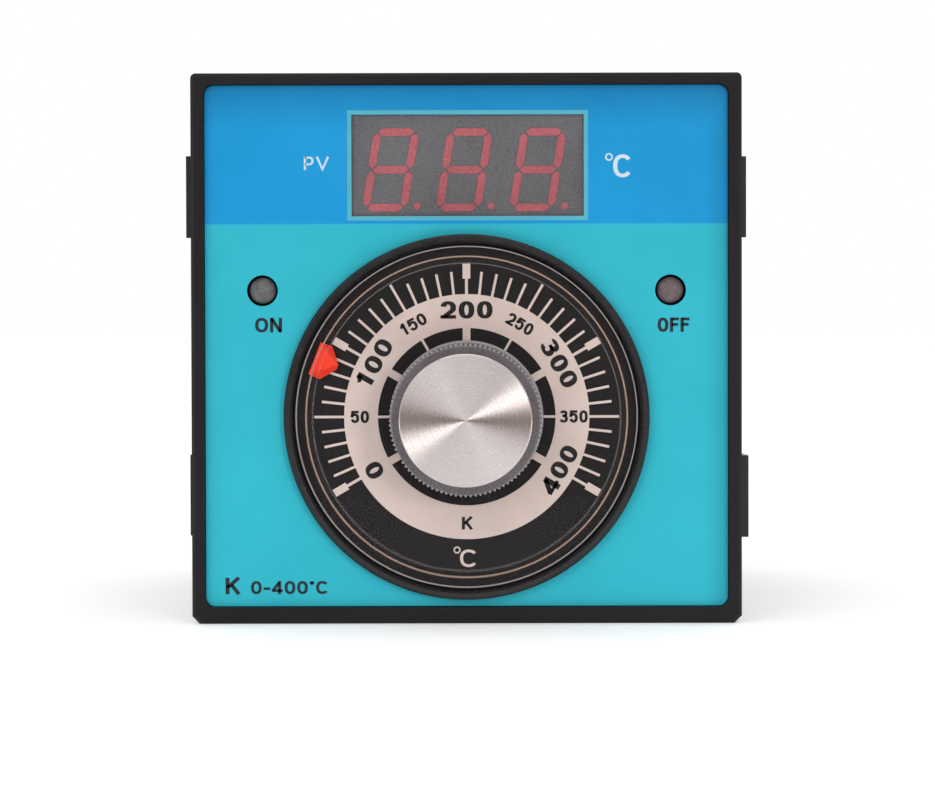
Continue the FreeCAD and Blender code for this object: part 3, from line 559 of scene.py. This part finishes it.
def lettering(name, front, material, slot_name, words, contrast=1.15):
    """One piece of print from (text, x, z, width, height, turn, pen) rows, each centred on (x, z).

    Upright strokes are contrast times as thick as level ones.
    """
    plates = Print(front)
    for text, x, z, width, height, turn, pen in words:
        shares = [SHARES.get(letter, 1.0) for letter in text]
        unit = width / contrast / (sum(shares) + LETTER_GAP * (len(text) - 1))
        spin = Matrix.Rotation(math.radians(turn), 2) @ Matrix.Diagonal((contrast, 1.0))
        start = -width / contrast / 2
        for letter, share in zip(text, shares):
            for line in glyph_strokes(letter, unit * share, height, pen):
                closed = (Vector(line[0]) - Vector(line[-1])).length < 1e-6
                line = line[:-1] if closed else line
                edges = []
                for edge in pen_plate([(start + px, pz - height / 2) for px, pz in line], pen, closed):
                    placed = [spin @ Vector(point) for point in edge]
                    edges.append([(x + point.x, z + point.y) for point in placed])
                plates.strip(*edges, closed=closed)
            start += unit * (share + LETTER_GAP)
    return plates.piece(name, material, slot_name)


DEGREES_PER_UNIT = 0.6       # the scale turns 240 degrees for 400 degrees C
SCALE_START = 210.0          # where 0 stands, counted anticlockwise from the right
RING_INNER = 15.5 * MM       # radii on the scale plate
RING_OUTER = 21.4 * MM
NUMBER_RADIUS = 18.65 * MM
INNER_TICK = 12.8 * MM       # where the ticks inside the ring start
HUNDRED_STEM = 24.1 * MM     # where a tick at a hundred turns from thin to wide
HUNDRED_TICK = 26.7 * MM     # where the ticks outside the ring end
FIFTY_TICK = 26.6 * MM
TEN_TICK = 25.4 * MM
WIDE_TICK = 1.35 * MM
STEM_TICK = 0.5 * MM
THIN_TICK = 0.44 * MM


def scale_angle(value):
    return SCALE_START - DEGREES_PER_UNIT * value


def print_scale():
    """Cream ring, ticks and bars on the black scale plate, then the black numbers on the ring."""
    front = PLATE_FRONT
    cream = Print(front)
    cream.ring(RING_INNER, RING_OUTER)
    for value in range(0, 401, 10):
        angle = scale_angle(value)
        if value % 100 == 0:
            cream.bar(angle, RING_OUTER, HUNDRED_STEM, STEM_TICK)
            cream.bar(angle, HUNDRED_STEM, HUNDRED_TICK, WIDE_TICK)
            cream.bar(angle, INNER_TICK, RING_INNER, WIDE_TICK)
        elif value % 50 == 0:
            cream.bar(angle, RING_OUTER, FIFTY_TICK, THIN_TICK)
            cream.bar(angle, INNER_TICK, RING_INNER, THIN_TICK)
        else:
            cream.bar(angle, RING_OUTER, TEN_TICK, THIN_TICK)
    cream_ink = ink("cream_ink", (0.73, 0.61, 0.56))
    cream.piece("scale_ring_print", cream_ink, "scale_print")
    heavy = []
    plain = []
    for value in range(0, 401, 50):
        angle = scale_angle(value)
        x = DIAL.x + NUMBER_RADIUS * math.cos(math.radians(angle))
        z = DIAL.z + NUMBER_RADIUS * math.sin(math.radians(angle))
        major = value % 100 == 0
        turn = {0: -60.0, 50: 0.0, 350: 0.0, 400: 60.0}.get(value, angle - 90.0)
        height, most_width, pen = (3.05, 9.1, 0.60) if major else (2.15, 4.95, 0.43)
        width = {0: 2.75, 50: 3.2}.get(value, most_width)
        row = (str(value), x, z, width * MM, height * MM, turn, pen * MM)
        (heavy if major else plain).append(row)
    plain.append(("K", DIAL.x + 0.1 * MM, DIAL.z - 18.6 * MM, 2.0 * MM, 2.2 * MM, 0.0, 0.45 * MM))
    number_ink = ink("scale_number_ink", (0.009, 0.007, 0.009))
    lettering("scale_large_numbers", front - INK, number_ink, "scale_print", heavy, contrast=1.65)
    lettering("scale_small_numbers", front - INK, number_ink, "scale_print", plain, contrast=1.2)
    unit = Print(front)
    degree = Vector((DIAL.x - 1.75 * MM, 0, DIAL.z - 23.3 * MM))
    unit.ring(0.38 * MM, 0.62 * MM, steps=32, centre=degree)
    unit.piece("scale_degree_sign", cream_ink, "scale_print")
    lettering("scale_unit", front, cream_ink, "scale_print",
              [("C", DIAL.x + 0.3 * MM, DIAL.z - 24.75 * MM, 3.06 * MM, 3.06 * MM, 0.0, 0.46 * MM)])


def print_face():
    """Lettering on the film, and the cyan line round the window."""
    front = FACE_FRONT
    white = ink("white_ink", (0.60, 0.72, 0.80))
    black = ink("black_ink", (0.012, 0.02, 0.028))
    lettering("face_white_lettering", front, white, "face_print", [
        ("P", -27.45 * MM, 32.35 * MM, 1.7 * MM, 2.3 * MM, 0.0, 0.34 * MM),
        ("V", -25.05 * MM, 32.35 * MM, 2.15 * MM, 2.3 * MM, 0.0, 0.34 * MM),
        ("C", 27.28 * MM, 31.8 * MM, 3.3 * MM, 4.0 * MM, 0.0, 0.62 * MM)])
    degree = Print(front)
    degree.ring(0.42 * MM, 0.68 * MM, steps=32, centre=Vector((24.9 * MM, 0, 33.35 * MM)))
    degree.piece("face_degree_sign", white, "face_print")
    lettering("face_black_lettering", front, black, "face_print", [
        ("ON", -34.55 * MM, 4.15 * MM, 4.7 * MM, 2.55 * MM, 0.0, 0.5 * MM),
        ("OFF", 36.13 * MM, 4.08 * MM, 5.57 * MM, 2.5 * MM, 0.0, 0.5 * MM),
        ("K", -40.9 * MM, -41.45 * MM, 2.7 * MM, 2.9 * MM, 0.0, 0.6 * MM),
        ("0-400oC", -31.0 * MM, -41.75 * MM, 13.6 * MM, 2.3 * MM, 0.0, 0.46 * MM)])
    border = Print(front)
    wide = 0.75 * MM
    low, high = WINDOW_LOW, WINDOW_HIGH
    inside = [(low.x, low.z), (low.x, high.z), (high.x, high.z), (high.x, low.z)]
    outside = [(low.x - wide, low.z - wide), (low.x - wide, high.z + wide),
               (high.x + wide, high.z + wide), (high.x + wide, low.z - wide)]
    border.strip(outside, inside, closed=True)
    border.piece("window_border_print", ink("cyan_ink", (0.085, 0.43, 0.56)), "face_print")


# ---------------------------------------------------------------- floor, light and camera

FLOOR_SIZE = 3.0          # metres to each side and to the back
FLOOR_FRONT = -0.3        # where the floor ends, so that little of it is mirrored in the dial and its cap
FLOOR_GAP = 0.05 * MM     # how far the floor lies under the bezel
FLOOR_GLOW = 0.3


def build_stage():
    """A plain pale floor."""
    mesh = bpy.data.meshes.new("floor")
    z = BEZEL_BOTTOM - FLOOR_GAP
    corners = [(-FLOOR_SIZE, FLOOR_FRONT, z), (FLOOR_SIZE, FLOOR_FRONT, z),
               (FLOOR_SIZE, FLOOR_SIZE, z), (-FLOOR_SIZE, FLOOR_SIZE, z)]
    mesh.from_pydata(corners, [], [(0, 1, 2, 3)])
    floor = bpy.data.objects.new("floor", mesh)
    bpy.context.scene.collection.objects.link(floor)
    s = Shader("floor_paper", Roughness=0.9, Specular_IOR_Level=0.1,
               Emission_Color=(1, 1, 1), Emission_Strength=FLOOR_GLOW)
    speck = s.noise(40 * MM, detail=4.0)
    s.give("Base Color", s.between(s.spread(speck, 0, 1), (0.93, 0.93, 0.93), (0.95, 0.95, 0.95)))
    mesh.materials.append(s.material)


LAMP_TARGET = (0, -0.011, -0.005)
WHITE = (1.0, 1.0, 1.0)
LAMPS = (                 # name, place, width and height, watts, colour
    ("key", (0.10, -0.78, 0.40), (0.9, 0.5), 1.5, WHITE),
    ("side", (0.33, -0.78, 0.10), (0.16, 0.13), 1.1, (1.0, 0.98, 0.96)),
    ("fill", (-0.45, -0.75, 0.32), (0.6, 0.6), 1.6, WHITE),
    ("top", (0.0, -0.25, 0.9), (0.8, 0.6), 0.7, WHITE),
)
FRONT_STRENGTH = 0.13     # the surroundings' strength on the camera's side
WARM_LOW_SIDES = (1.0, 0.66, 0.55)


def area_light(name, place, size, power, colour):
    data = bpy.data.lights.new(name, "AREA")
    data.shape = "RECTANGLE"
    data.size, data.size_y = size
    data.energy = power
    data.color = colour
    light = bpy.data.objects.new(name, data)
    light.location = place
    light.rotation_euler = (Vector(LAMP_TARGET) - Vector(place)).to_track_quat("-Z", "Y").to_euler()
    bpy.context.scene.collection.objects.link(light)


def build_surroundings():
    """White surroundings, dimmer on the camera's side, with a warm level strip at the front.

    Rays straight from the camera meet plain white, so the background is white.
    """
    world = bpy.data.worlds.new("surroundings")
    bpy.context.scene.world = world
    world.use_nodes = True
    w = Nodes(world.node_tree)
    background = w.tree.nodes["Background"]
    place = w.add("ShaderNodeTexCoord").outputs["Generated"]
    way = w.add("ShaderNodeSeparateXYZ", Vector=place).outputs
    seen = w.add("ShaderNodeLightPath").outputs["Is Camera Ray"]
    strength = w.spread(way["Y"], FRONT_STRENGTH, 1.0, -0.9, 0.2)
    w.put(background.inputs["Strength"], w.math("MAXIMUM", strength, seen))
    steep = w.spread(w.math("ABSOLUTE", way["Z"]), 0.0, 1.0, 0.05, 0.35)
    behind = w.spread(way["Y"], 0.0, 1.0, -0.3, 0.0)
    white = w.math("MAXIMUM", w.math("MAXIMUM", steep, behind), seen)
    w.put(background.inputs["Color"], w.between(white, WARM_LOW_SIDES, WHITE))


def build_light():
    """The surroundings, and soft lamps at both sides and above."""
    build_surroundings()
    for lamp in LAMPS:
        area_light(*lamp)


def build_camera():
    """Nearly straight on, a little right of and above the middle, looking slightly down."""
    data = bpy.data.cameras.new("camera")
    data.sensor_width = 36.0
    data.lens = 109.46
    data.shift_x = -0.0422
    data.shift_y = -0.0642
    data.clip_start = 0.01
    camera = bpy.data.objects.new("camera", data)
    camera.location = (7.07 * MM, -505.9 * MM, 11.78 * MM)
    camera.rotation_euler = (math.radians(88.81), math.radians(0.12), 0)
    bpy.context.scene.collection.objects.link(camera)
    bpy.context.scene.camera = camera
    bpy.context.scene.view_settings.view_transform = "Standard"


paint_everything()
print_scale()
print_face()
build_stage()
build_light()
build_camera()
